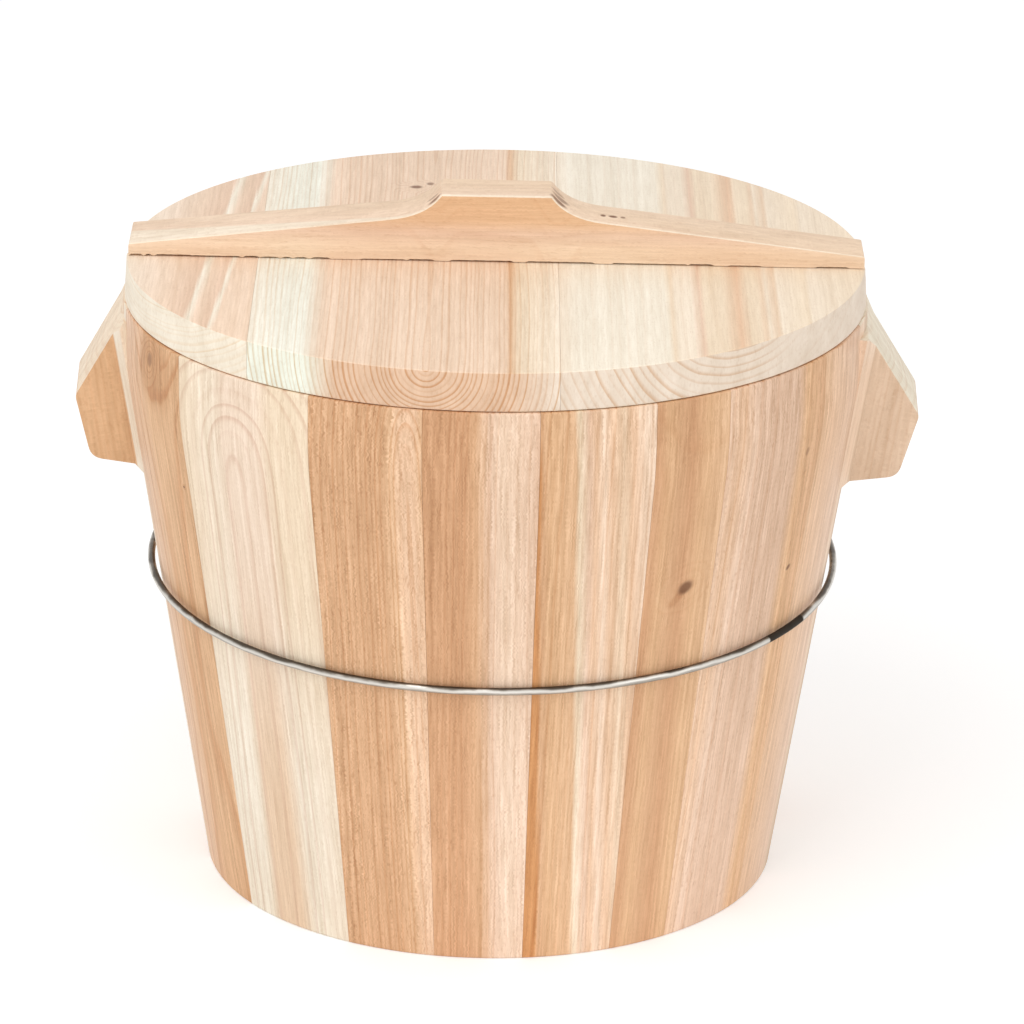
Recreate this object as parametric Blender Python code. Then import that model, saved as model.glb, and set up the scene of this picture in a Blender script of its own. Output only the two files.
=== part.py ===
"""Wooden rice steamer: a tapered stave tub with two carved ears and a wire hoop, a plank lid whose
handle bar is a tapered sliding dovetail, and a slatted grate that wedges in the taper of the tub.

Metres, +Z up.  The origin is on the floor under the middle of the tub.  Angles round the tub are
measured from the front (-Y) and grow towards the right (+X).
"""
import math

import bmesh
import bpy
from mathutils import Matrix, Vector

# Fits
CLEARANCE = 0.0003
GRATE_CLEARANCE = 0.0005

# Tub wall
TUB_HEIGHT = 0.260
BASE_RADIUS = 0.1257
RIM_RADIUS = 0.1612
RIM_BAND = 0.028
BAND_BLEND = 0.012
WALL = 0.016
EDGE_BREAK = 0.0008

# Staves: an ear stave at each side and uneven staves between, as shares of the arc they fill
EAR_STAVE_CHORD = 0.070
EAR_TURN = math.radians(2.0)
FRONT_SHARES = (24.2, 26.9, 17.9, 17.3, 17.8, 12.8, 22.6, 15.5)
BACK_SHARES = (20.0, 18.0, 23.0, 17.0, 19.5, 21.0, 16.0, 20.5)
FRONT_WOODS = ("tan_fir", "pale_fir", "tan_fir", "tan_fir",
               "tan_fir", "tan_fir", "reddish_fir", "reddish_fir")
BACK_WOODS = ("tan_fir", "pale_fir", "tan_fir", "pale_fir",
              "tan_fir", "pale_fir", "reddish_fir", "pale_fir")
FACET_ANGLE = math.radians(3.2)

# Carved ears: hand cut, so the left one is shorter and its outer face is a little skewed
EAR_WIDTH = 0.042
EAR_REACH_LEFT = 0.0216
EAR_REACH_RIGHT = 0.0234
EAR_SKEW_LEFT = 0.071
EAR_SKEW_RIGHT = 0.0
EAR_TOP_DROP = 0.007
EAR_TIP_DROP = 0.0445
EAR_FOOT_REACH = 0.0150
EAR_FOOT_DROP = 0.0730
EAR_ROOT_DROP = 0.0760
EAR_TIP_ROUND = 0.005
EAR_FOOT_ROUND = 0.007
EAR_STRIP_RISE = 0.0052

# Bamboo pins across the stave joints
PIN_DIAMETER = 0.005
PIN_LENGTH = 0.020
PIN_HEIGHT = 0.205

# Wire hoop: it rises towards the back, touches front and back and stands off a little at the sides
HOOP_FRONT_HEIGHT = 0.1325
HOOP_BACK_HEIGHT = 0.1465
HOOP_SIDE_GAP = 0.0012
WIRE_DIAMETER = 0.0032

# Lid, which ends just inside the rim's outer edge
LID_SETBACK = 0.0006
LID_THICKNESS = 0.0167
LID_EDGE_INSET = 0.001
LEFT_BOARD_WIDTH = 0.0581
MIDDLE_BOARD_WIDTH = 0.1295
LID_WOODS = ("reddish_fir", "pale_fir", "pale_fir")
LID_DOWEL_DIAMETER = 0.006
LID_DOWEL_LENGTH = 0.026
LID_DOWEL_MARGIN = 0.040

# Handle bar: a dovetail batten, wider at its left end, with a raised grip
BAR_SETBACK = 0.002
BAR_WIDTH_LEFT = 0.0325
BAR_WIDTH_RIGHT = 0.026
BAR_CENTRE_LEFT = 0.0076
BAR_CENTRE_RIGHT = -0.002
BAR_END_HEIGHT = 0.0053
BAR_SHOULDER_HEIGHT = 0.0198
BAR_SHOULDER = 0.0764
GRIP_HEIGHT = 0.029
GRIP_LENGTH = 0.0476
GRIP_FOOT_ROUND = 0.036
GRIP_DRAFT = 0.0022
BAR_EDGE_ROUND = 0.0026
DOVETAIL_DEPTH = 0.006
DOVETAIL_INSET = 0.003
DOVETAIL_FLARE = 0.004
KEY_SETBACK = 0.004

# Steaming grate
GRATE_HEIGHT = 0.040
SLAT_COUNT = 7
SLAT_THICKNESS = 0.009
SLAT_GAP = 0.006
BATTEN_WIDTH = 0.016
BATTEN_HEIGHT = 0.012
BATTEN_SPREAD = 0.110

# Facets
ROUND_SEGMENTS = 96
WIRE_SIDES = 10
PIN_SIDES = 12
CORNER_STEPS = 4
ARC_SHARE = 0.9

# Finishes: colour, roughness and metallic value
FINISHES = {
    "pale_fir": ((0.80, 0.65, 0.47), 0.65, 0.0),
    "tan_fir": ((0.66, 0.43, 0.25), 0.65, 0.0),
    "reddish_fir": ((0.74, 0.51, 0.33), 0.65, 0.0),
    "ear_fir": ((0.70, 0.48, 0.29), 0.65, 0.0),
    "bar_fir": ((0.72, 0.48, 0.28), 0.60, 0.0),
    "grate_fir": ((0.74, 0.56, 0.37), 0.70, 0.0),
    "bamboo": ((0.70, 0.57, 0.34), 0.50, 0.0),
    "steel_wire": ((0.55, 0.55, 0.54), 0.35, 1.0),
}

TAPER = (RIM_RADIUS - BASE_RADIUS) / (TUB_HEIGHT - RIM_BAND)
LID_SEAT = TUB_HEIGHT + CLEARANCE
LID_RADIUS = RIM_RADIUS - LID_SETBACK
BAR_LENGTH = 2 * (LID_RADIUS - BAR_SETBACK)


def outer_radius(height):
    """Radius of the tub's outer face: a taper, then the upright band."""
    return min(BASE_RADIUS + TAPER * height, RIM_RADIUS)


def inner_radius(height):
    """Radius of the tub's inner face, which tapers all the way up."""
    return BASE_RADIUS - WALL + TAPER * height


def polar(radius, angle, height=0.0):
    """Point at a radius and an angle from the front."""
    return Vector((radius * math.sin(angle), -radius * math.cos(angle), height))


def lerp(low, high, share):
    return low + (high - low) * share


# Collections and materials

def new_collection(name):
    collection = bpy.data.collections.new(name)
    bpy.context.scene.collection.children.link(collection)
    return collection


def new_material(name, colour, roughness, metallic):
    material = bpy.data.materials.new(name)
    material.use_nodes = True
    shader = material.node_tree.nodes["Principled BSDF"]
    shader.inputs["Base Color"].default_value = (*colour, 1.0)
    shader.inputs["Roughness"].default_value = roughness
    shader.inputs["Metallic"].default_value = metallic
    material.diffuse_color = (*colour, 1.0)
    return material


def new_object(name, bm, collection, material=None, parent=None):
    """Turn a bmesh into a named object with outward faces and smooth round sides."""
    bmesh.ops.recalc_face_normals(bm, faces=bm.faces[:])
    mesh = bpy.data.meshes.new(name)
    bm.to_mesh(mesh)
    bm.free()
    mesh.shade_smooth()
    mesh.set_sharp_from_angle(angle=math.radians(30.0))
    thing = bpy.data.objects.new(name, mesh)
    collection.objects.link(thing)
    if material:
        mesh.materials.append(material)
    if parent:
        thing.parent = parent
    return thing


def new_cutter(name, bm, parent=None):
    thing = new_object(name, bm, cutters, parent=parent)
    thing.hide_render = True
    thing.display_type = "WIRE"
    return thing


def new_empty(name, location):
    empty = bpy.data.objects.new(name, None)
    empty.location = location
    steamer.objects.link(empty)
    return empty


def combine(thing, other, operation):
    """Add a Boolean with another object to the stack."""
    modifier = thing.modifiers.new(f"{operation.lower()} {other.name}", "BOOLEAN")
    modifier.operation = operation
    modifier.object = other
    modifier.solver = "EXACT"


# Shapes

def rounded_outline(corners):
    """Outline through (x, z, radius) corners, with an arc at each corner that has a radius."""
    points = []
    for index, (x, z, radius) in enumerate(corners):
        corner = Vector((x, z))
        if not radius:
            points.append(corner)
            continue
        before = Vector(corners[index - 1][:2]) - corner
        after = Vector(corners[(index + 1) % len(corners)][:2]) - corner
        run = radius / math.tan(before.angle(after) / 2)
        start = corner + before.normalized() * min(run, ARC_SHARE * before.length)
        end = corner + after.normalized() * min(run, ARC_SHARE * after.length)
        for step in range(CORNER_STEPS + 1):
            share = step / CORNER_STEPS
            points.append(start.lerp(corner, share).lerp(corner.lerp(end, share), share))
    return points


def extruded(points, half_width):
    """Outline in the XZ plane, extruded along Y to both sides."""
    bm = bmesh.new()
    face = bm.faces.new([bm.verts.new((point.x, -half_width, point.y)) for point in points])
    side = bmesh.ops.extrude_face_region(bm, geom=[face])["geom"]
    moved = [item for item in side if isinstance(item, bmesh.types.BMVert)]
    bmesh.ops.translate(bm, verts=moved, vec=(0.0, 2 * half_width, 0.0))
    return bm


def box(low, high):
    """Box between two corners."""
    low, high = Vector(low), Vector(high)
    bm = bmesh.new()
    bmesh.ops.create_cube(bm, size=1.0)
    bmesh.ops.scale(bm, verts=bm.verts[:], vec=high - low)
    bmesh.ops.translate(bm, verts=bm.verts[:], vec=(low + high) / 2)
    return bm


def rod(diameter, length, middle, direction, sides=PIN_SIDES):
    """Round rod about a middle point."""
    turn = Vector((0.0, 0.0, 1.0)).rotation_difference(direction).to_matrix().to_4x4()
    bm = bmesh.new()
    bmesh.ops.create_cone(bm, cap_ends=True, segments=sides, radius1=diameter / 2, radius2=diameter / 2,
                          depth=length, matrix=Matrix.Translation(middle) @ turn)
    return bm


def trim(bm, point, normal):
    """Cut away what lies beyond a plane and close the cut."""
    everything = bm.verts[:] + bm.edges[:] + bm.faces[:]
    cut = bmesh.ops.bisect_plane(bm, geom=everything, plane_co=point, plane_no=normal, clear_outer=True)
    edges = [item for item in cut["geom_cut"] if isinstance(item, bmesh.types.BMEdge)]
    bmesh.ops.edgeloop_fill(bm, edges=edges)


# Tub

def stave_profile():
    """Closed section of the wall as (radius, height): up the outer face and down the inner one."""
    bend = TUB_HEIGHT - RIM_BAND
    low = Vector((outer_radius(bend - BAND_BLEND), bend - BAND_BLEND))
    corner = Vector((RIM_RADIUS, bend))
    high = Vector((RIM_RADIUS, bend + BAND_BLEND))
    points = [(BASE_RADIUS - EDGE_BREAK, 0.0), (outer_radius(EDGE_BREAK), EDGE_BREAK)]
    for step in range(CORNER_STEPS + 1):
        share = step / CORNER_STEPS
        points.append(low.lerp(corner, share).lerp(corner.lerp(high, share), share)[:])
    shoulder = TUB_HEIGHT - EDGE_BREAK
    points += [(RIM_RADIUS, shoulder), (RIM_RADIUS - EDGE_BREAK, TUB_HEIGHT)]
    points += [(inner_radius(shoulder) + EDGE_BREAK, TUB_HEIGHT), (inner_radius(shoulder), shoulder)]
    points.append((inner_radius(0.0), 0.0))
    return points


def stave(name, start, end, material):
    """One stave: the wall section spun between two joints."""
    half_gap = CLEARANCE / 2 / inner_radius(0.0)
    first = start + half_gap
    sweep = end - start - 2 * half_gap
    bm = bmesh.new()
    face = bm.faces.new([bm.verts.new(polar(radius, first, height)) for radius, height in stave_profile()])
    bmesh.ops.spin(bm, geom=[face], cent=(0.0, 0.0, 0.0), axis=(0.0, 0.0, 1.0), angle=sweep,
                   steps=math.ceil(sweep / FACET_ANGLE), use_duplicate=False)
    return new_object(name, bm, steamer, material, tub)


def ear_outline(reach):
    """Side view of the ear, rooted in the middle of the wall."""
    top = TUB_HEIGHT - EAR_TOP_DROP
    root = TUB_HEIGHT - EAR_ROOT_DROP
    return rounded_outline([
        (inner_radius(top) + WALL / 2, top, 0.0),
        (RIM_RADIUS, top, 0.0),
        (RIM_RADIUS + reach, TUB_HEIGHT - EAR_TIP_DROP, EAR_TIP_ROUND),
        (RIM_RADIUS + EAR_FOOT_REACH, TUB_HEIGHT - EAR_FOOT_DROP, EAR_FOOT_ROUND),
        (outer_radius(root), root, 0.0),
        (inner_radius(root) + WALL / 2, root, 0.0),
    ])


def ear_side_cutter(side):
    """What is carved off one side of the ear: down to a sloping strip that ends at the stave joint."""
    joint = side * (ear_half_angle - 2 * CLEARANCE / inner_radius(0.0))
    far = RIM_RADIUS + 2 * max(EAR_REACH_LEFT, EAR_REACH_RIGHT)
    low = TUB_HEIGHT - EAR_ROOT_DROP - WALL
    rise = EAR_ROOT_DROP + WALL
    wall = polar(BASE_RADIUS - WALL + TAPER * low, math.pi / 2 - joint, low)
    edge = polar(BASE_RADIUS + TAPER * low, math.pi / 2 - joint, low)
    cheek = -side * EAR_WIDTH / 2
    wide = -side * EAR_STAVE_CHORD
    plan = [(wall.x, wall.y), (edge.x, edge.y), (edge.x + EAR_STRIP_RISE, cheek)]
    plan += [(far, cheek), (far, wide), (wall.x, wide)]
    bm = bmesh.new()
    face = bm.faces.new([bm.verts.new((x, y, low)) for x, y in plan])
    side_walls = bmesh.ops.extrude_face_region(bm, geom=[face])["geom"]
    moved = [item for item in side_walls if isinstance(item, bmesh.types.BMVert)]
    lift = polar(TAPER * rise, math.pi / 2 - joint, rise)
    bmesh.ops.translate(bm, verts=moved, vec=lift)
    return new_cutter(f"ear_side_{'left' if side > 0 else 'right'}", bm)


def ear_stave(name, middle, reach, skew, side_cutters):
    """A side stave with its carved ear."""
    thing = stave(name, middle - ear_half_angle, middle + ear_half_angle, finish["ear_fir"])
    bm = extruded(ear_outline(reach), EAR_STAVE_CHORD / 2)
    for vert in bm.verts:
        vert.co.x -= skew * vert.co.y
    ear = new_cutter(f"{name}_ear", bm)
    turn = Matrix.Rotation(middle - math.pi / 2, 4, "Z")
    ear.matrix_world = turn
    for cutter in side_cutters:
        turned = cutter.copy()
        turned.name = f"{name}_{cutter.name}"
        turned.matrix_world = turn
        cutters.objects.link(turned)
        combine(ear, turned, "DIFFERENCE")
    combine(thing, ear, "UNION")
    return thing


def stave_pin(number, angle, neighbours):
    """Bamboo pin across one joint, with its blind hole in both staves."""
    middle = polar((outer_radius(PIN_HEIGHT) + inner_radius(PIN_HEIGHT)) / 2, angle, PIN_HEIGHT)
    direction = Vector((math.cos(angle), math.sin(angle), 0.0))
    drilled = rod(PIN_DIAMETER + 2 * CLEARANCE, PIN_LENGTH + 2 * CLEARANCE, middle, direction)
    hole = new_cutter(f"pin_hole_{number:02d}", drilled)
    for neighbour in neighbours:
        combine(neighbour, hole, "DIFFERENCE")
    pin = rod(PIN_DIAMETER, PIN_LENGTH, middle, direction)
    new_object(f"stave_pin_{number:02d}", pin, steamer, finish["bamboo"], tub)


def arc_joints(start, end, shares):
    """Joint angles between two ear staves, ends included."""
    joints = [start]
    for share in shares:
        joints.append(joints[-1] + (end - start) * share / sum(shares))
    return joints


def build_tub():
    """All staves in order round the tub, and a pin in each joint."""
    right = math.pi / 2 - EAR_TURN
    left = -math.pi / 2 - EAR_TURN
    front = arc_joints(left + ear_half_angle, right - ear_half_angle, FRONT_SHARES)
    back = arc_joints(right + ear_half_angle, left + 2 * math.pi - ear_half_angle, BACK_SHARES)
    side_cutters = [ear_side_cutter(side) for side in (1, -1)]
    ring = [ear_stave("ear_stave_left", left, EAR_REACH_LEFT, EAR_SKEW_LEFT, side_cutters)]
    for number, (start, end) in enumerate(zip(front, front[1:]), 1):
        ring.append(stave(f"stave_front_{number}", start, end, finish[FRONT_WOODS[number - 1]]))
    ring.append(ear_stave("ear_stave_right", right, EAR_REACH_RIGHT, EAR_SKEW_RIGHT, side_cutters))
    for number, (start, end) in enumerate(zip(back, back[1:]), 1):
        ring.append(stave(f"stave_back_{number}", start, end, finish[BACK_WOODS[number - 1]]))
    for cutter in side_cutters:
        bpy.data.objects.remove(cutter)
    for number, angle in enumerate(front + back):
        stave_pin(number + 1, angle, (ring[number], ring[(number + 1) % len(ring)]))


def build_hoop():
    """Round steel wire hoop, driven onto the taper with its back higher than its front."""
    standoff = (WIRE_DIAMETER / 2 + CLEARANCE) / math.cos(math.atan(TAPER))
    middle = (HOOP_FRONT_HEIGHT + HOOP_BACK_HEIGHT) / 2
    front = Vector((0.0, -outer_radius(HOOP_FRONT_HEIGHT) - standoff, HOOP_FRONT_HEIGHT))
    back = Vector((0.0, outer_radius(HOOP_BACK_HEIGHT) + standoff, HOOP_BACK_HEIGHT))
    radius = (back - front).length / 2
    oval = (outer_radius(middle) + standoff + HOOP_SIDE_GAP) / radius
    tilt = math.atan2(back.z - front.z, back.y - front.y)
    bpy.ops.mesh.primitive_torus_add(major_radius=radius, minor_radius=WIRE_DIAMETER / 2,
                                     major_segments=ROUND_SEGMENTS, minor_segments=WIRE_SIDES)
    hoop = bpy.context.object
    hoop.name = "wire_hoop"
    hoop.data.transform(Matrix.Translation((front + back) / 2) @ Matrix.Rotation(tilt, 4, "X")
                        @ Matrix.Scale(oval, 4, (1.0, 0.0, 0.0)))
    hoop.data.materials.append(finish["steel_wire"])
    hoop.data.shade_smooth()
    for collection in hoop.users_collection:
        collection.objects.unlink(hoop)
    steamer.objects.link(hoop)
    hoop.parent = tub


# Lid

def bar_width(x):
    return lerp(BAR_WIDTH_LEFT, BAR_WIDTH_RIGHT, x / BAR_LENGTH + 0.5)


def bar_centre(x):
    return lerp(BAR_CENTRE_LEFT, BAR_CENTRE_RIGHT, x / BAR_LENGTH + 0.5)


def dovetail(grow, length, top):
    """Tapered dovetail key under the bar, grown all round for its groove."""
    half = length / 2
    bm = box((-half, -0.5, LID_THICKNESS - DOVETAIL_DEPTH - grow), (half, 0.5, top))
    slant = DOVETAIL_FLARE / DOVETAIL_DEPTH
    for vert in bm.verts:
        above = vert.co.z - (LID_THICKNESS - DOVETAIL_DEPTH)
        reach = bar_width(vert.co.x) / 2 - DOVETAIL_INSET - slant * above + grow
        vert.co.y = bar_centre(vert.co.x) + math.copysign(reach, vert.co.y)
    return bm


def handle_bar():
    """Bar with a raised grip over its dovetail key."""
    seat = LID_THICKNESS + CLEARANCE
    half, shoulder, grip = BAR_LENGTH / 2, BAR_SHOULDER / 2, GRIP_LENGTH / 2
    outline = rounded_outline([
        (-half, seat, 0.0),
        (half, seat, 0.0),
        (half, seat + BAR_END_HEIGHT, 0.0),
        (shoulder - (shoulder - grip) / 2, seat + BAR_SHOULDER_HEIGHT, GRIP_FOOT_ROUND),
        (grip, seat + GRIP_HEIGHT, 0.0),
        (-grip, seat + GRIP_HEIGHT, 0.0),
        (-shoulder + (shoulder - grip) / 2, seat + BAR_SHOULDER_HEIGHT, GRIP_FOOT_ROUND),
        (-half, seat + BAR_END_HEIGHT, 0.0),
    ])
    bm = extruded(outline, 0.5)
    for vert in bm.verts:
        reach = bar_width(vert.co.x) / 2 - GRIP_DRAFT * (vert.co.z - seat) / GRIP_HEIGHT
        vert.co.y = bar_centre(vert.co.x) + math.copysign(reach, vert.co.y)
    long_edges = []
    for edge in bm.edges:
        ends = [vert.co for vert in edge.verts]
        raised = min(end.z for end in ends) > seat + BAR_END_HEIGHT / 2
        if raised and abs(ends[0].x - ends[1].x) > abs(ends[0].y - ends[1].y):
            long_edges.append(edge)
    bmesh.ops.bevel(bm, geom=long_edges, offset=BAR_EDGE_ROUND, offset_type="OFFSET", segments=2,
                    profile=0.5, affect="EDGES", clamp_overlap=True, material=-1)
    bar = new_object("lid_handle_bar", bm, steamer, finish["bar_fir"], lid)
    tenon = dovetail(0.0, BAR_LENGTH - 2 * KEY_SETBACK, seat + BAR_END_HEIGHT / 3)
    combine(bar, new_cutter("dovetail_key", tenon, lid), "UNION")


def lid_plank(name, low, high, groove, material):
    """One board of the round lid, between two joints."""
    bm = bmesh.new()
    bmesh.ops.create_cone(bm, cap_ends=True, segments=ROUND_SEGMENTS, radius1=LID_RADIUS,
                          radius2=LID_RADIUS - LID_EDGE_INSET, depth=LID_THICKNESS)
    bmesh.ops.translate(bm, verts=bm.verts[:], vec=(0.0, 0.0, LID_THICKNESS / 2))
    if low > -LID_RADIUS:
        trim(bm, (low + CLEARANCE / 2, 0.0, 0.0), (-1.0, 0.0, 0.0))
    if high < LID_RADIUS:
        trim(bm, (high - CLEARANCE / 2, 0.0, 0.0), (1.0, 0.0, 0.0))
    plank = new_object(name, bm, steamer, material, lid)
    combine(plank, groove, "DIFFERENCE")
    return plank


def lid_dowel(name, x, y, neighbours):
    """Bamboo dowel across a board joint, with its blind hole in both boards."""
    middle = Vector((x, y, LID_THICKNESS / 2))
    along = Vector((1.0, 0.0, 0.0))
    drilled = rod(LID_DOWEL_DIAMETER + 2 * CLEARANCE, LID_DOWEL_LENGTH + 2 * CLEARANCE, middle, along)
    hole = new_cutter(f"{name}_hole", drilled, lid)
    for neighbour in neighbours:
        combine(neighbour, hole, "DIFFERENCE")
    dowel = rod(LID_DOWEL_DIAMETER, LID_DOWEL_LENGTH, middle, along)
    new_object(name, dowel, steamer, finish["bamboo"], lid)


def build_lid():
    groove = new_cutter("dovetail_groove", dovetail(CLEARANCE, 3 * LID_RADIUS, 2 * LID_THICKNESS), lid)
    left_joint = LEFT_BOARD_WIDTH - LID_RADIUS
    joints = (left_joint, left_joint + MIDDLE_BOARD_WIDTH)
    edges = (-LID_RADIUS, *joints, LID_RADIUS)
    names = ("left", "middle", "right")
    planks = [lid_plank(f"lid_plank_{name}", low, high, groove, finish[wood])
              for name, low, high, wood in zip(names, edges, edges[1:], LID_WOODS)]
    for joint, x in enumerate(joints):
        reach = math.sqrt(LID_RADIUS ** 2 - x ** 2) - LID_DOWEL_MARGIN
        for end, side in (("front", -1), ("back", 1)):
            lid_dowel(f"lid_dowel_{names[2 * joint]}_{end}", x, side * reach, planks[joint:joint + 2])
    handle_bar()


# Steaming grate

def grate_cone():
    """Space inside the taper that every piece of the grate is shaped to."""
    low = -2 * BATTEN_HEIGHT
    high = 2 * SLAT_THICKNESS
    bm = bmesh.new()
    bmesh.ops.create_cone(bm, cap_ends=True, segments=ROUND_SEGMENTS, depth=high - low,
                          radius1=inner_radius(GRATE_HEIGHT + low) - GRATE_CLEARANCE,
                          radius2=inner_radius(GRATE_HEIGHT + high) - GRATE_CLEARANCE)
    bmesh.ops.translate(bm, verts=bm.verts[:], vec=(0.0, 0.0, (low + high) / 2))
    return new_cutter("grate_cone", bm, grate)


def build_grate():
    cone = grate_cone()
    reach = inner_radius(GRATE_HEIGHT)
    pitch = (2 * reach + SLAT_GAP) / SLAT_COUNT
    for number in range(SLAT_COUNT):
        start = -reach + number * pitch
        end = start + pitch - SLAT_GAP
        if number == 0:
            start -= WALL
        if number == SLAT_COUNT - 1:
            end += WALL
        strip = box((start, -2 * reach, 0.0), (end, 2 * reach, SLAT_THICKNESS))
        slat = new_object(f"grate_slat_{number + 1}", strip, steamer, finish["grate_fir"], grate)
        combine(slat, cone, "INTERSECT")
    top = -CLEARANCE
    for name, side in (("front", -1), ("back", 1)):
        middle = side * BATTEN_SPREAD / 2
        strip = box((-2 * reach, middle - BATTEN_WIDTH / 2, top - BATTEN_HEIGHT),
                    (2 * reach, middle + BATTEN_WIDTH / 2, top))
        batten = new_object(f"grate_batten_{name}", strip, steamer, finish["grate_fir"], grate)
        combine(batten, cone, "INTERSECT")


for leftover in list(bpy.data.objects):
    bpy.data.objects.remove(leftover)

steamer = new_collection("wooden_rice_steamer")
cutters = new_collection("cutters")
ear_half_angle = math.asin(EAR_STAVE_CHORD / 2 / RIM_RADIUS)

finish = {name: new_material(name, *looks) for name, looks in FINISHES.items()}

tub = new_empty("tub", (0.0, 0.0, 0.0))
lid = new_empty("lid", (0.0, 0.0, LID_SEAT))
grate = new_empty("grate", (0.0, 0.0, GRATE_HEIGHT))

build_tub()
build_hoop()
build_lid()
build_grate()
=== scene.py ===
"""Looks of the wooden rice steamer: bare fir boards with their own growth rings, a drawn wire hoop and
a pale studio.  Metres, +Z up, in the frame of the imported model.  Angles round the tub are measured
from the front (-Y) and grow towards the right (+X)."""

import math

import bmesh
import bpy
from mathutils import Matrix, Vector


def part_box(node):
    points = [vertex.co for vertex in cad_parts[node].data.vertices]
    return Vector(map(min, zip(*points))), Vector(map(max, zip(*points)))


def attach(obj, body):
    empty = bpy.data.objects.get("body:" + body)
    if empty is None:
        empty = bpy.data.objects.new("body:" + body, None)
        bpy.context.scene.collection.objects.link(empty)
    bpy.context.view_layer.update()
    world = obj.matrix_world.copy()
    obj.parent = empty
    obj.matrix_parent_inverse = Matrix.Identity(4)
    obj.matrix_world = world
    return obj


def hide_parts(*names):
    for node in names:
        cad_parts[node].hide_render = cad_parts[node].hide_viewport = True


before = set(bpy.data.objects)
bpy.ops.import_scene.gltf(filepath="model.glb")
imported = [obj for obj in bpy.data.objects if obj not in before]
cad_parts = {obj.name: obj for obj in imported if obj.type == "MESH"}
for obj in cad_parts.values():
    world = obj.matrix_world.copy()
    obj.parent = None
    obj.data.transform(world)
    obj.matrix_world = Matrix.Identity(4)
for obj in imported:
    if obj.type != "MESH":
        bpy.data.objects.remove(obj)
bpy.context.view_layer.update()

# Centre of the tub's foot, and directions from it
CENTRE = (0.0, 0.0, 0.0)
RIGHT = (1.0, 0.0, 0.0)
LEFT = (-1.0, 0.0, 0.0)
BACK = (0.0, 1.0, 0.0)
FRONT = (0.0, -1.0, 0.0)
UP = (0.0, 0.0, 1.0)

# Sizes that the finer pieces share with the solids
TUB_HEIGHT = 0.260
BASE_RADIUS = 0.1257
RIM_RADIUS = 0.1612
RIM_BAND = 0.028
BAND_BLEND = 0.012
WALL = 0.016
EDGE_BREAK = 0.0008
EAR_STAVE_CHORD = 0.070
EAR_WIDTH = 0.042
EAR_REACH = {"left": 0.0216, "right": 0.0234}
EAR_SKEW = {"left": 0.071, "right": 0.0}
EAR_TOP_DROP = 0.007
EAR_TIP_DROP = 0.0445
EAR_FOOT_REACH = 0.0150
EAR_FOOT_DROP = 0.0730
EAR_ROOT_DROP = 0.0760
EAR_TIP_ROUND = 0.005
EAR_FOOT_ROUND = 0.007
EAR_STRIP_RISE = 0.0052
HOOP_FRONT_HEIGHT = 0.1325
HOOP_BACK_HEIGHT = 0.1465
HOOP_SIDE_GAP = 0.0012
WIRE_DIAMETER = 0.0032
LID_SEAT = 0.2603
LID_RADIUS = 0.1606
LID_THICKNESS = 0.0167
LID_EDGE_INSET = 0.001
LID_JOINTS = (-0.1025, 0.027)
BAR_LENGTH = 0.3172
BAR_WIDTH_LEFT = 0.0325
BAR_WIDTH_RIGHT = 0.026
BAR_CENTRE_LEFT = 0.0076
BAR_CENTRE_RIGHT = -0.002
BAR_END_HEIGHT = 0.0053
BAR_SHOULDER_HEIGHT = 0.0198
BAR_SHOULDER = 0.0764
GRIP_HEIGHT = 0.029
GRIP_LENGTH = 0.0476
GRIP_FOOT_ROUND = 0.036
GRIP_DRAFT = 0.0022
DOVETAIL_DEPTH = 0.006
DOVETAIL_INSET = 0.003
DOVETAIL_FLARE = 0.004
KEY_SETBACK = 0.004
TAPER = (RIM_RADIUS - BASE_RADIUS) / (TUB_HEIGHT - RIM_BAND)

# Seam under the bar: where it stands open, as (start, end, depth), and how its edge runs
OPEN_SEAM = (
    (-0.1584, -0.1522, 0.0008), (-0.1517, -0.1480, 0.0008), (-0.1474, -0.1305, 0.0007),
    (-0.1320, -0.1096, 0.0005), (-0.1092, -0.1018, 0.0007), (-0.1015, -0.0936, 0.0005),
    (-0.0925, -0.0878, 0.0005), (-0.0873, -0.0809, 0.0005), (-0.0799, -0.0712, 0.0006),
    (-0.0586, -0.0384, 0.0004), (-0.0383, -0.0263, 0.0006), (-0.0202, 0.0078, 0.0006),
    (0.0126, 0.0427, 0.0006), (0.0496, 0.0830, 0.0005), (0.0826, 0.0942, 0.0007),
    (0.0997, 0.1147, 0.0004), (0.1372, 0.1522, 0.0005),
)
SEAM_SOFTNESS = 0.0013
SEAM_WAVES = (1300.0, 470.0)
SEAM_WAVE_SHARE = 0.1

# Softened edges
EAR_SOFTENING = 0.0012
EAR_PROUD = 0.001
EAR_FOLD = math.radians(30.0)
BAR_SOFTENING = 0.0011
BAR_FOLD = math.radians(40.0)
LID_SOFTENING = 0.0009
LID_FOLD = math.radians(57.0)
EDGE_KNUCKLE = 0.3

# Fineness of the visible pieces
GLUE_LINE = 0.00008
SEAT_GAP = 0.0003
FACET_ANGLE = math.radians(1.0)
LID_SEGMENTS = 240
CORNER_STEPS = 8
ARC_SHARE = 0.9
SEAM_STEPS = 480
WIRE_SIDES = 24
HOOP_STEPS = 240
SOFT_EDGE_STEPS = 3
SMOOTH_ANGLE = math.radians(18.0)

# Mending of the carved ears: points that touch, slivers, specks and folds that are almost flat
TOUCHING = 1e-6
SLIVER = 2e-5
SPECK = 1e-5
FLAT_FOLD = math.radians(1.0)

# Camera, placed as the photograph was taken
CAMERA_DISTANCE = 2.545
CAMERA_ELEVATION = math.radians(20.63)
CAMERA_ROLL = math.radians(0.71)
AIM_HEIGHT = 0.13445
FOCAL_PIXELS = 5764.5
AIM_PIXEL = (492.23, 562.48)
IMAGE_SIZE = 1024
SENSOR = 36.0

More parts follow.
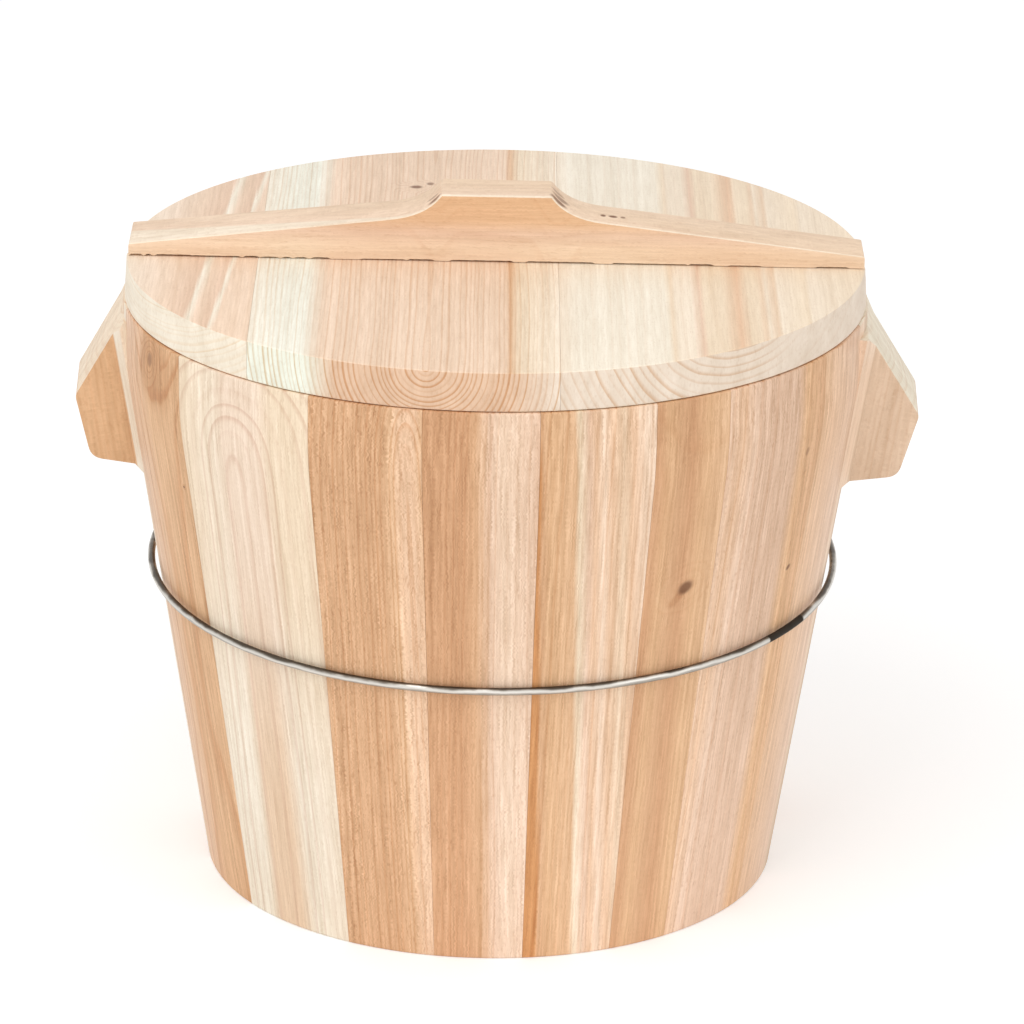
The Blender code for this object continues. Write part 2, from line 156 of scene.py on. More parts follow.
# Studio: floor, even light from all sides, and lamps as (name, place, watts)
FLOOR_REACH = 12.0
FLOOR_WHITE = (0.90, 0.90, 0.90, 1.0)
FLOOR_ROUGHNESS = 0.9
FLOOR_GLOW = 0.25
FULL_WHITE = (1.0, 1.0, 1.0, 1.0)
EVEN_LIGHT = 0.78
LAMP_SIZE = 1.4
LAMPS = (
    ("key_lamp", (-0.7, -1.0, 1.7), 10.0),
    ("fill_lamp", (1.3, -1.2, 0.9), 4.0),
    ("low_lamp", (-0.2, -2.2, 0.35), 4.0),
)

# Colours of the wood
EMBER = (0.62, 0.29, 0.115)
HEART = (0.655, 0.365, 0.198)
TAN = (0.685, 0.405, 0.226)
AMBER = (0.735, 0.45, 0.25)
HONEY = (0.77, 0.49, 0.29)
FAWN = (0.795, 0.525, 0.34)
CLAY = (0.725, 0.49, 0.34)
BLUSH = (0.815, 0.575, 0.415)
SAND = (0.84, 0.625, 0.44)
PEACH = (0.875, 0.655, 0.485)
OAT = (0.885, 0.715, 0.525)
CREAM = (0.90, 0.72, 0.565)
SAP = (0.91, 0.765, 0.60)
PALE = (0.92, 0.82, 0.67)
MILK = (0.91, 0.87, 0.74)
RIM_TAN = (0.77, 0.53, 0.365)
RIM_CREAM = (0.82, 0.69, 0.56)
RIM_MILK = (0.85, 0.85, 0.72)
DUSK = (0.715, 0.52, 0.367)
STRAW = (0.70, 0.57, 0.34)
# Painted light: the ears' upward slopes, paler as if lit from above
LEFT_SLOPE_LIT = (0.90, 0.74, 0.56)
RIGHT_SLOPE_LIT = (0.86, 0.76, 0.60)

# What late wood, pores and knots do to those colours
RESIN = (0.80, 0.62, 0.47)
ASH = (0.78, 0.65, 0.60)
WHEAT = (0.92, 0.82, 0.70)
PORE = (0.64, 0.46, 0.32)
KNOT = (0.23, 0.105, 0.05)
KNOT_HALO = (0.57, 0.36, 0.17)

# Heights between which a stave's foot colours give way to those above
FOOT_BLEND = (0.05, 0.19)

# Painted shading of the wire by which way it faces, from its lower side to its upper one: grey below,
# a painted highlight across the middle and a painted shadow along the upper edge
WIRE_PAINTED_SHADING = (
    (-0.9, (0.30, 0.28, 0.25)), (-0.3, (0.42, 0.39, 0.35)), (0.1, (0.71, 0.68, 0.63)),
    (0.5, (0.58, 0.55, 0.50)), (0.75, (0.22, 0.19, 0.16)), (0.95, (0.09, 0.075, 0.06)),
)

# Weld of the wire: the angles where it starts and ends, how its ends fade, and its colour
WELD = (math.radians(52.0), math.radians(63.0))
WELD_FADE = (0.006, 0.010)
WELD_BLACK = (0.045, 0.036, 0.028)
WELD_ROUGHNESS = 0.3

# Clouds, the wobble of the painted shading and scratches of the wire, as (noise scale, detail), and what
# they do
WIRE_CLOUD = (110.0, 3.0)
WIRE_SHADE_WOBBLE = (42.0, 2.0)
WIRE_SCRATCH = (1600.0, 2.0)
CLOUD_REACH = 0.9
SHADE_WOBBLE_REACH = 1.5
SHADE_WOBBLE_MIDDLE = 0.47
WIRE_SHEEN = (0.2, 0.8, 0.26, 0.42)
SCRATCH_DEPTH = 0.00003

# Bamboo: its clouds and vessel dots, as (noise scale, detail), and what they do
BAMBOO_CLOUD = (220.0, 3.0)
BAMBOO_DOTS = (1500.0, 1.0)
BAMBOO_BANDS = ((0.3, STRAW), (0.5, OAT), (0.7, HONEY))
BAMBOO_SHEEN = (0.3, 0.7, 0.38, 0.55)
DOT_EDGE = (0.60, 0.72)
DOT_STAIN = 0.5
DOT_DEPTH = 0.00005

# Grain of the wood, as (width across the board, length along it), its depth in widths, and its seeds
CHATTER = (0.004, 0.0012)
FIBRE = (0.0008, 0.022)
THREAD = (0.0018, 0.25)
STREAK = (0.006, 0.40)
BLOTCH = (0.030, 0.09)
WANDER = (0.045, 0.20)
RIPPLE = (0.009, 0.06)
PORE_GRAIN = (0.0007, 0.003)
PORE_EDGE = (0.56, 0.74)
GRAIN_DEPTH = 3
SEEDS = 89

# How far the grain moves rings and colour bands
WANDER_REACH = 0.007
RIPPLE_REACH = 0.0010
THREAD_REACH = 0.003
BAND_WANDER = 0.25
TOP_WANDER = 0.5
TOP_DRIFT = -0.145

# How strongly the grain shades the wood, and how red, green and blue answer
FIBRE_SHADE = 0.62
THREAD_SHADE = 0.36
CHATTER_SHADE = 0.08
STREAK_SHADE = 0.30
BLOTCH_SHADE = 0.14
END_SHADE = -0.6
SHADE_POWERS = (0.9, 1.15, 1.45)

# Sheen and relief of the wood
WOOD_ROUGHNESS = 0.52
FIBRE_ROUGHNESS = 0.16
LATE_ROUGHNESS = -0.06
WOOD_GLOSS = 0.25
FIBRE_RELIEF = 0.6
LATE_RELIEF = 0.3
PORE_RELIEF = -0.5
CHATTER_RELIEF = 0.2
RELIEF_DEPTH = 0.00010

# Growth rings: where late wood peaks in its year, and how one year differs from the next
LATE_PEAK = 0.88
YEAR_PACE = 0.4
YEAR_JITTER = 2.4
FAINTEST_YEAR = 0.25
PLAIN_LINES = 0.15
END_LINES = 0.7

# Knots: how dark one is that bends the rings, how far and strongly, and how its stain fades and frays
DARK_KNOT = 0.45
KNOT_BEND = (0.3, 4.0)
KNOT_PUSH = 2.6
KNOT_FADE = (0.5, 1.2)
KNOT_RAGGED = 600.0

# How squarely a surface has to face a direction to count as turned to it
LIT_SLOPE_TURN = (0.25, 0.5)
TOP_TURN = (0.35, 0.75)
END_TURN = (0.45, 0.95)
EDGE_TURN = (0.3, 0.7)
# Where a softened edge takes the painted highlight, as it turns from the side
HIGHLIGHT_START = (0.15, 0.3)
HIGHLIGHT_STOP = (0.8, 0.95)


def outer_radius(height):
    return min(BASE_RADIUS + TAPER * height, RIM_RADIUS)


def inner_radius(height):
    return BASE_RADIUS - WALL + TAPER * height


def polar(radius, angle, height=0.0):
    return Vector((radius * math.sin(angle), -radius * math.cos(angle), height))


def lerp(low, high, share):
    return low + (high - low) * share


# Shader nodes

class Nodes:
    """Short calls for the shader nodes of one material."""

    def __init__(self, name):
        self.material = bpy.data.materials.new(name)
        self.material.use_nodes = True
        self.tree = self.material.node_tree
        self.shader = self.tree.nodes["Principled BSDF"]

    def add(self, kind, **settings):
        node = self.tree.nodes.new(kind)
        for name, value in settings.items():
            setattr(node, name, value)
        return node

    def feed(self, socket, value):
        if isinstance(value, bpy.types.NodeSocket):
            self.tree.links.new(value, socket)
        else:
            socket.default_value = value

    def fill(self, node, values):
        for socket, value in zip(node.inputs, values):
            self.feed(socket, value)
        return node

    def math(self, operation, *values):
        return self.fill(self.add("ShaderNodeMath", operation=operation), values).outputs[0]

    def sum(self, *values):
        total = values[0]
        for value in values[1:]:
            total = self.math("ADD", total, value)
        return total

    def scaled(self, value, factor, middle=0.0):
        """A value about its middle, times a factor."""
        return self.math("MULTIPLY", self.math("SUBTRACT", value, middle), factor)

    def sway(self, noise, reach):
        """A noise about its middle, times a reach."""
        return self.scaled(noise, reach, 0.5)

    def length(self, first, second):
        squares = self.math("ADD", self.math("POWER", first, 2.0), self.math("POWER", second, 2.0))
        return self.math("SQRT", squares)

    def vector(self, operation, *values):
        node = self.fill(self.add("ShaderNodeVectorMath", operation=operation), values)
        return node.outputs["Value" if operation == "DOT_PRODUCT" else "Vector"]

    def combine(self, *values):
        return self.fill(self.add("ShaderNodeCombineXYZ"), values).outputs[0]

    def ramp(self, value, low, high, start=0.0, end=1.0):
        """Smooth step of a value between two limits."""
        node = self.add("ShaderNodeMapRange", interpolation_type="SMOOTHSTEP")
        return self.fill(node, (value, low, high, start, end)).outputs[0]

    def noise(self, vector, scale=1.0, detail=2.0, roughness=0.5):
        node = self.add("ShaderNodeTexNoise")
        settings = {"Vector": vector, "Scale": scale, "Detail": detail, "Roughness": roughness}
        for name, value in settings.items():
            self.feed(node.inputs[name], value)
        return node.outputs[0]

    def random(self, value):
        node = self.add("ShaderNodeTexWhiteNoise", noise_dimensions="1D")
        self.feed(node.inputs["W"], value)
        return node.outputs["Value"]

    def mix(self, factor, first, second, blend="MIX"):
        """Blend of two colours, whose sockets in the node follow those for numbers and vectors."""
        node = self.add("ShaderNodeMix", data_type="RGBA", blend_type=blend)
        for index, value in ((0, factor), (6, first), (7, second)):
            if isinstance(value, tuple):
                value = (*value, 1.0)
            self.feed(node.inputs[index], value)
        return node.outputs[2]

    def bands(self, value, rows):
        """Colour bands across a board, as (place, colour) rows from one side to the other."""
        first, last = rows[0][0], rows[-1][0]
        share = self.add("ShaderNodeMapRange")
        self.fill(share, (value, first, last, 0.0, 1.0))
        node = self.add("ShaderNodeValToRGB")
        self.feed(node.inputs[0], share.outputs[0])
        stops = node.color_ramp.elements
        while len(stops) < len(rows):
            stops.new(0.5)
        for stop, (place, colour) in zip(stops, rows):
            stop.position = (place - first) / (last - first)
            stop.color = (*colour, 1.0)
        return node.outputs[0]

    def bump(self, height, distance):
        node = self.add("ShaderNodeBump")
        for name, value in (("Strength", 1.0), ("Distance", distance), ("Height", height)):
            self.feed(node.inputs[name], value)
        self.feed(self.shader.inputs["Normal"], node.outputs[0])


class Board:
    """Where a board lies: a point on its face, and the directions across, out of and along it."""

    def __init__(self, origin, across, out, along):
        self.origin = Vector(origin)
        self.across = Vector(across).normalized()
        self.out = Vector(out).normalized()
        self.along = Vector(along).normalized()


class BoardNodes(Nodes):
    """Shader nodes of one board, which know where a point lies in the board and how it faces."""

    def __init__(self, name, board):
        super().__init__(name)
        self.seed = sum(name.encode()) % SEEDS
        place = self.add("ShaderNodeTexCoord").outputs["Object"]
        offset = self.vector("SUBTRACT", place, board.origin)
        ways = (board.across, board.out, board.along)
        self.across, self.out, self.along = (self.vector("DOT_PRODUCT", offset, way) for way in ways)
        self.facing = self.add("ShaderNodeNewGeometry").outputs["Normal"]

    def turned(self, way):
        """How squarely the surface faces a direction, from -1 to 1."""
        return self.vector("DOT_PRODUCT", self.facing, way)

    def squarely(self, way):
        """How squarely the surface faces a direction or its opposite, from 0 to 1."""
        return self.math("ABSOLUTE", self.turned(way))

    def grain(self, size, sideways=None, **settings):
        """Noise drawn out along the board, from its width and length."""
        width, length = size
        sideways = self.across if sideways is None else sideways
        place = self.combine(
            self.math("MULTIPLY_ADD", sideways, 1 / width, self.seed),
            self.math("DIVIDE", self.out, GRAIN_DEPTH * width),
            self.math("MULTIPLY_ADD", self.along, 1 / length, self.seed))
        return self.noise(place, **settings)


def knot_distance(n, face, knot, ripple):
    """Distance from a knot in its own widths and heights, for a knot that slants over the face."""
    knot_across, knot_along, width, height, slant, _ = knot
    step = n.math("SUBTRACT", face, knot_across)
    rise = n.math("SUBTRACT", n.math("SUBTRACT", n.along, knot_along), n.math("MULTIPLY", step, slant))
    distance = n.length(n.math("DIVIDE", step, width), n.math("DIVIDE", rise, height))
    return n.math("ADD", distance, n.scaled(ripple, KNOT_RAGGED))


def ring_radius(n, pith, arch, wander, ripple, marks):
    """Distance from the pith, which grows along the board past an arch's start and round dark knots."""
    side = n.math("SUBTRACT", n.across, pith[0])
    depth = n.math("SUBTRACT", n.out, pith[1])
    arch_start, arch_rise = arch
    beyond = n.math("MAXIMUM", n.math("SUBTRACT", n.along, arch_start), 0.0)
    over = n.math("MULTIPLY", n.math("POWER", beyond, 2.0), arch_rise)
    radius = n.sum(n.length(n.length(side, depth), over), wander, ripple)
    for near, (_, _, width, _, _, darkness) in marks:
        if darkness >= DARK_KNOT:
            radius = n.math("ADD", radius, n.ramp(near, *KNOT_BEND, KNOT_PUSH * width, 0.0))
    return radius


def late_wood(n, years, summer, plain):
    """Dark late wood of each year, from none at 0 to full at 1."""
    jitter = n.noise(n.combine(n.math("MULTIPLY", years, YEAR_PACE), n.seed, 0.5))
    years = n.math("ADD", years, n.sway(jitter, YEAR_JITTER))
    phase = n.math("FRACT", years)
    strength = n.ramp(n.random(n.math("FLOOR", years)), 0.0, 1.0, FAINTEST_YEAR, 1.0)
    late = n.math("MULTIPLY", n.ramp(phase, summer, LATE_PEAK), n.ramp(phase, LATE_PEAK, 1.0, 1.0, 0.0))
    late = n.math("MULTIPLY", late, strength)
    if plain:
        late = n.math("MULTIPLY", late, n.ramp(n.across, *plain, 1.0, PLAIN_LINES))
    return late


def top_colour(n, board, colour, top, upward, wander):
    """Colour bands of an upper face, partly the wood's own stripes and partly painted light that keeps it
    paler than the sides, with a painted highlight along its softened edges.
    """
    drifted = n.sum(n.out, n.math("MULTIPLY", n.along, TOP_DRIFT), n.scaled(wander, TOP_WANDER))
    colour = n.mix(upward, colour, n.bands(drifted, top))
    # Painted highlight: a pale line where a softened edge turns between the upper face and the side
    turned = n.squarely(board.out)
    painted_light = n.math("MULTIPLY", n.ramp(turned, *HIGHLIGHT_START), n.ramp(turned, *HIGHLIGHT_STOP, 1.0, 0.0))
    return n.mix(painted_light, colour, SAP)


def fir(name, board, bands, foot=None, ends=None, top=None, lit_slope=None, pith=(0.0, -0.08),
        arch=(1.0, 0.0), ring=0.003, summer=0.45, plain=None, lines=0.4, tint=RESIN, torn=0.0012,
        pores=0.15, figure=1.5, knots=(), drift=0.0, tone=1.0, painted_foot_light=0.0):
    """Bare fir: colour bands across the board, growth rings about a pith line, fibres, pores and knots.

    foot, ends, top and slope colour the lower end, the cut edges, the upper face and a carved sloping face;
    slope is painted light, paler where a face turns up as if lit from above, and top is partly painted
    light, an upper face paler than the sides.
    The pith lies at a place across the board and a depth out of it, and the rings close over an arch
    that starts at a height and rises.  A year is one ring wide, with late wood after its summer share,
    drawn with the strength of lines in a tint, and fading between the two places in plain.  torn roughens
    the fibres, pores and figure strengthen pores and fibres, drift slants the bands, tone is the shade of
    the whole board, and fade paints light onto its foot: a paler foot standing in for light bounced up
    from the floor.
    """
    n = BoardNodes(name, board)
    chatter = n.grain(CHATTER, detail=1.0)
    rough = n.math("ADD", n.across, n.sway(chatter, torn))
    fibre = n.grain(FIBRE, rough, detail=3.0, roughness=0.65)
    thread = n.grain(THREAD, rough)
    streak = n.grain(STREAK)
    blotch = n.grain(BLOTCH)
    wander = n.sway(n.grain(WANDER, detail=1.0), WANDER_REACH)
    ripple = n.sway(n.grain(RIPPLE, detail=1.0), RIPPLE_REACH)
    pore = n.ramp(n.grain(PORE_GRAIN, detail=1.0), *PORE_EDGE)
    marks = [(knot_distance(n, n.out if top else n.across, knot, ripple), knot) for knot in knots]
    radius = ring_radius(n, pith, arch, wander, ripple, marks)
    late = late_wood(n, n.math("DIVIDE", radius, ring), summer, plain)

    shift = n.sum(n.across, n.math("MULTIPLY", n.along, drift), n.sway(thread, THREAD_REACH),
                  n.scaled(wander, BAND_WANDER))
    colour = n.bands(shift, bands)
    end = n.ramp(n.squarely(board.along), *END_TURN)
    upward = 1.0
    if foot:
        colour = n.mix(n.ramp(n.along, *FOOT_BLEND), n.bands(shift, foot), colour)
    # Painted light: a face that turns up takes a paler colour, as if lit from above
    if lit_slope:
        colour = n.mix(n.ramp(n.turned(UP), *LIT_SLOPE_TURN), colour, lit_slope)
    # The top colours are partly painted light: an upper face made paler than the sides, as if lit from
    # above
    if top:
        upward = n.ramp(n.turned(UP), *TOP_TURN)
        colour = top_colour(n, board, colour, top, upward, wander)
    if ends:
        end = n.ramp(n.squarely(board.out), *EDGE_TURN, 1.0, 0.0)
        colour = n.mix(end, colour, n.bands(shift, ends))

    lined = n.math("MULTIPLY", late, n.math("MULTIPLY_ADD", end, END_LINES, lines))
    colour = n.mix(lined, colour, tint, "MULTIPLY")
    hair = n.sum(n.sway(fibre, FIBRE_SHADE), n.sway(thread, THREAD_SHADE), n.sway(chatter, CHATTER_SHADE))
    calmer = n.math("MULTIPLY_ADD", end, END_SHADE * figure, figure)
    # The shade's last term is painted light: it pales a stave toward its foot, standing in for light
    # bounced up from the floor
    shade = n.sum(tone, n.math("MULTIPLY", hair, calmer), n.sway(streak, STREAK_SHADE),
                  n.sway(blotch, BLOTCH_SHADE), n.ramp(n.along, 0.0, TUB_HEIGHT, painted_foot_light, 0.0))
    shades = n.combine(*(n.math("POWER", shade, power) for power in SHADE_POWERS))
    colour = n.mix(1.0, colour, shades, "MULTIPLY")
    colour = n.mix(n.math("MULTIPLY", pore, pores), colour, PORE, "MULTIPLY")
    for near, (*_, darkness) in marks:
        stain, blend = (KNOT, "MIX") if darkness >= DARK_KNOT else (KNOT_HALO, "MULTIPLY")
        share = n.math("MULTIPLY", n.ramp(near, *KNOT_FADE, darkness, 0.0), upward)
        colour = n.mix(share, colour, stain, blend)

    n.feed(n.shader.inputs["Base Color"], colour)
    polish = n.math("MULTIPLY", late, LATE_ROUGHNESS)
    roughness = n.sum(WOOD_ROUGHNESS, n.sway(fibre, FIBRE_ROUGHNESS), polish)
    n.feed(n.shader.inputs["Roughness"], roughness)
    n.shader.inputs["Specular IOR Level"].default_value = WOOD_GLOSS
    relief = n.sum(n.math("MULTIPLY", fibre, FIBRE_RELIEF), n.math("MULTIPLY", late, LATE_RELIEF),
                   n.math("MULTIPLY", pore, PORE_RELIEF), n.math("MULTIPLY", chatter, CHATTER_RELIEF))
    n.bump(relief, RELIEF_DEPTH)
    return n.material


def split_bamboo():
    """Straw-coloured bamboo with dark vessel dots."""
    n = Nodes("split_bamboo")
    place = n.add("ShaderNodeTexCoord").outputs["Object"]
    cloud = n.noise(place, *BAMBOO_CLOUD)
    dots = n.ramp(n.noise(place, *BAMBOO_DOTS), *DOT_EDGE)
    stained = n.math("MULTIPLY", dots, DOT_STAIN)
    colour = n.mix(stained, n.bands(cloud, BAMBOO_BANDS), PORE, "MULTIPLY")
    n.feed(n.shader.inputs["Base Color"], colour)
    n.feed(n.shader.inputs["Roughness"], n.ramp(cloud, *BAMBOO_SHEEN))
    n.bump(n.math("MULTIPLY", dots, -1.0), DOT_DEPTH)
    return n.material


def drawn_wire():
    """Drawn steel wire with painted shading: a painted highlight across its middle and a painted shadow
    along its upper edge; black where its ends are welded.
    """
    n = Nodes("drawn_steel_wire")
    place = n.add("ShaderNodeTexCoord").outputs["Object"]
    split = n.add("ShaderNodeSeparateXYZ")
    n.feed(split.inputs[0], place)
    angle = n.math("ARCTAN2", split.outputs[0], n.math("MULTIPLY", split.outputs[1], -1.0))
    first, last = WELD
    fade_in, fade_out = WELD_FADE
    weld = n.math("MULTIPLY", n.ramp(angle, first, first + fade_in),
                  n.ramp(angle, last - fade_out, last, 1.0, 0.0))
    facing = n.add("ShaderNodeNewGeometry").outputs["Normal"]
    cloud = n.noise(place, *WIRE_CLOUD)
    painted_light = n.noise(place, *WIRE_SHADE_WOBBLE)
    # Painted shading: the colour follows which way the wire faces, shifted by clouds and a noise
    turned = n.sum(n.vector("DOT_PRODUCT", facing, UP), n.sway(cloud, CLOUD_REACH),
                   n.scaled(painted_light, SHADE_WOBBLE_REACH, SHADE_WOBBLE_MIDDLE))
    colour = n.mix(weld, n.bands(turned, WIRE_PAINTED_SHADING), WELD_BLACK)
    n.feed(n.shader.inputs["Base Color"], colour)
    n.shader.inputs["Metallic"].default_value = 1.0
    roughness = n.sum(n.ramp(cloud, *WIRE_SHEEN), n.math("MULTIPLY", weld, WELD_ROUGHNESS))
    n.feed(n.shader.inputs["Roughness"], roughness)
    n.bump(n.noise(place, *WIRE_SCRATCH), SCRATCH_DEPTH)
    return n.material


# Pieces

def new_piece(name, bm):
    """Turn a bmesh into an object with outward faces."""
    bmesh.ops.recalc_face_normals(bm, faces=bm.faces[:])
    mesh = bpy.data.meshes.new(name)
    bm.to_mesh(mesh)
    bm.free()
    piece = bpy.data.objects.new(name, mesh)
    bpy.context.scene.collection.objects.link(piece)
    return piece


def carve(piece, tool, operation):
    """Apply a Boolean with a solid that is then thrown away."""
    modifier = piece.modifiers.new("carve", "BOOLEAN")
    modifier.object = tool
    modifier.operation = operation
    modifier.solver = "EXACT"
    rough = piece.data
    carved = bpy.data.meshes.new_from_object(piece.evaluated_get(bpy.context.evaluated_depsgraph_get()))
    piece.modifiers.clear()
    piece.data = carved
    carved.name = rough.name
    bpy.data.meshes.remove(rough)
    bpy.data.objects.remove(tool)


def hand_over(piece, node, body, material):
    """Smooth a finished piece and let it stand for its solid, which is hidden."""
    piece.data.shade_smooth()
    piece.data.set_sharp_from_angle(angle=SMOOTH_ANGLE)
    piece.data.materials.clear()
    piece.data.materials.append(material)
    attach(piece, body)
    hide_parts(node)


def soften(bm, edges, width):
    """Round off edges."""
    bmesh.ops.bevel(bm, geom=edges, offset=width, offset_type="OFFSET", segments=SOFT_EDGE_STEPS,
                    profile=0.5, affect="EDGES", clamp_overlap=True, material=-1)


def rounded_outline(corners):
    """Outline through (x, z, radius) corners, with an arc at each corner that has a radius."""
    points = []
    for index, (x, z, radius) in enumerate(corners):
        corner = Vector((x, z))
        if not radius:
            points.append(corner)
            continue
        before = Vector(corners[index - 1][:2]) - corner
        after = Vector(corners[(index + 1) % len(corners)][:2]) - corner
        run = radius / math.tan(before.angle(after) / 2)
        start = corner + before.normalized() * min(run, ARC_SHARE * before.length)
        end = corner + after.normalized() * min(run, ARC_SHARE * after.length)
        for step in range(CORNER_STEPS + 1):
            share = step / CORNER_STEPS
            points.append(start.lerp(corner, share).lerp(corner.lerp(end, share), share))
    return points


def prism(points, way):
    """Flat outline extruded along a vector."""
    bm = bmesh.new()
    face = bm.faces.new([bm.verts.new(point) for point in points])
    sides = bmesh.ops.extrude_face_region(bm, geom=[face])["geom"]
    moved = [item for item in sides if isinstance(item, bmesh.types.BMVert)]
    bmesh.ops.translate(bm, verts=moved, vec=way)
    return bm


def trim(bm, point, normal):
    """Cut away what lies beyond a plane and close the cut."""
    everything = bm.verts[:] + bm.edges[:] + bm.faces[:]
    cut = bmesh.ops.bisect_plane(bm, geom=everything, plane_co=point, plane_no=normal, clear_outer=True)
    rim = [item for item in cut["geom_cut"] if isinstance(item, bmesh.types.BMEdge)]
    bmesh.ops.edgeloop_fill(bm, edges=rim)


# Tub

def stave_angles(node):
    """Joint angles of a stave, from its solid."""
    points = [vert.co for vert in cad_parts[node].data.vertices]
    middle = sum(points, Vector()) / len(points)
    centre = math.atan2(middle.x, -middle.y)
    turned = [math.remainder(math.atan2(point.x, -point.y) - centre, math.tau) for point in points]
    return centre + min(turned), centre + max(turned)


def stave_board(start, end):
    """Lie of a stave: its outer face leans out with the taper of the tub."""
    middle = (start + end) / 2
    outward = polar(1.0, middle)
    upright = Vector(UP)
    sideways = (math.cos(middle), math.sin(middle), 0.0)
    return Board(outward * BASE_RADIUS, sideways, outward - upright * TAPER, outward * TAPER + upright)


def stave_section():
    """Section of the wall as (radius, height): up the outer face and down the inner one."""
    bend = TUB_HEIGHT - RIM_BAND
    low = Vector((outer_radius(bend - BAND_BLEND), bend - BAND_BLEND))
    corner = Vector((RIM_RADIUS, bend))
    high = Vector((RIM_RADIUS, bend + BAND_BLEND))
    knuckle = EDGE_KNUCKLE * EDGE_BREAK
    points = [(BASE_RADIUS - EDGE_BREAK, 0.0), (BASE_RADIUS - knuckle, knuckle)]
    points.append((outer_radius(EDGE_BREAK), EDGE_BREAK))
    for step in range(CORNER_STEPS + 1):
        share = step / CORNER_STEPS
        points.append(low.lerp(corner, share).lerp(corner.lerp(high, share), share)[:])
    shoulder = TUB_HEIGHT - EDGE_BREAK
    points += [(RIM_RADIUS, shoulder), (RIM_RADIUS - knuckle, TUB_HEIGHT - knuckle)]
    points += [(RIM_RADIUS - EDGE_BREAK, TUB_HEIGHT)]
    points += [(inner_radius(shoulder) + EDGE_BREAK, TUB_HEIGHT), (inner_radius(shoulder), shoulder)]
    points.append((inner_radius(0.0), 0.0))
    return points


def turned_stave(name, start, end):
    """One stave: the wall section spun between two glue lines."""
    half_gap = GLUE_LINE / 2 / inner_radius(0.0)
    sweep = end - start - 2 * half_gap
    bm = bmesh.new()
    section = [bm.verts.new(polar(radius, start + half_gap, height)) for radius, height in stave_section()]
    bmesh.ops.spin(bm, geom=[bm.faces.new(section)], cent=CENTRE, axis=UP, angle=sweep,
                   steps=math.ceil(sweep / FACET_ANGLE), use_duplicate=False)
    return new_piece(name, bm)


def ear_block(side_name, middle, half_angle):
    """Carved ear of a side stave: its side view cut down at both cheeks, with softened edges."""
    top = TUB_HEIGHT - EAR_TOP_DROP
    root = TUB_HEIGHT - EAR_ROOT_DROP
    outline = rounded_outline([
        (inner_radius(top) + WALL / 2, top, 0.0),
        (RIM_RADIUS, top, 0.0),
        (RIM_RADIUS + EAR_REACH[side_name], TUB_HEIGHT - EAR_TIP_DROP, EAR_TIP_ROUND),
        (RIM_RADIUS + EAR_FOOT_REACH, TUB_HEIGHT - EAR_FOOT_DROP, EAR_FOOT_ROUND),
        (outer_radius(root), root, 0.0),
        (inner_radius(root) + WALL / 2, root, 0.0),
    ])
    half = EAR_STAVE_CHORD / 2
    bm = prism([(p.x, -half, p.y) for p in outline], (0.0, 2 * half, 0.0))
    for vert in bm.verts:
        vert.co.x -= EAR_SKEW[side_name] * vert.co.y
    block = new_piece("ear_block", bm)
    for side in (1, -1):
        carve(block, ear_cheek(side, half_angle), "DIFFERENCE")
    bm = bmesh.new()
    bm.from_mesh(block.data)
    bmesh.ops.remove_doubles(bm, verts=bm.verts[:], dist=TOUCHING)
    bmesh.ops.dissolve_limit(bm, angle_limit=FLAT_FOLD, verts=bm.verts[:], edges=bm.edges[:])
    edges = []
    for edge in bm.edges:
        proud = all(vert.co.xy.length > outer_radius(vert.co.z) + EAR_PROUD for vert in edge.verts)
        if proud and edge.calc_face_angle(0.0) > EAR_FOLD:
            edges.append(edge)
    soften(bm, edges, EAR_SOFTENING)
    bmesh.ops.remove_doubles(bm, verts=bm.verts[:], dist=SLIVER)
    bmesh.ops.dissolve_degenerate(bm, dist=SPECK, edges=bm.edges[:])
    bpy.data.objects.remove(block)
    turn = Matrix.Rotation(middle - math.pi / 2, 3, "Z")
    bmesh.ops.rotate(bm, verts=bm.verts[:], cent=CENTRE, matrix=turn)
    return new_piece("ear_tool", bm)


def ear_cheek(side, half_angle):
    """What is carved off one side of the ear, down to a sloping strip that ends at the stave joint."""
    joint = math.pi / 2 - side * (half_angle - 2 * SEAT_GAP / inner_radius(0.0))
    far = RIM_RADIUS + 2 * max(EAR_REACH.values())
    low = TUB_HEIGHT - EAR_ROOT_DROP - WALL
    wall = polar(inner_radius(low), joint, low)
    edge = polar(outer_radius(low), joint, low)
    cheek = -side * EAR_WIDTH / 2
    wide = -side * EAR_STAVE_CHORD
    plan = [(wall.x, wall.y), (edge.x, edge.y), (edge.x + EAR_STRIP_RISE, cheek)]
    plan += [(far, cheek), (far, wide), (wall.x, wide)]
    rise = EAR_ROOT_DROP + WALL
    return new_piece("cheek_tool", prism([(x, y, low) for x, y in plan], polar(TAPER * rise, joint, rise)))


def build_tub():
    for node in sorted(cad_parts):
        if not node.startswith(("stave_front", "stave_back", "ear_stave")):
            continue
        start, end = stave_angles(node)
        start -= SEAT_GAP / 2 / inner_radius(0.0)
        end += SEAT_GAP / 2 / inner_radius(0.0)
        stave = turned_stave(f"{node}_board", start, end)
        if node.startswith("ear_stave"):
            side_name = node.split("_")[-1]
            carve(stave, ear_block(side_name, (start + end) / 2, (end - start) / 2), "UNION")
        wood = fir(f"{node}_fir", stave_board(start, end), **STAVE_WOOD[node])
        hand_over(stave, node, "tub", wood)


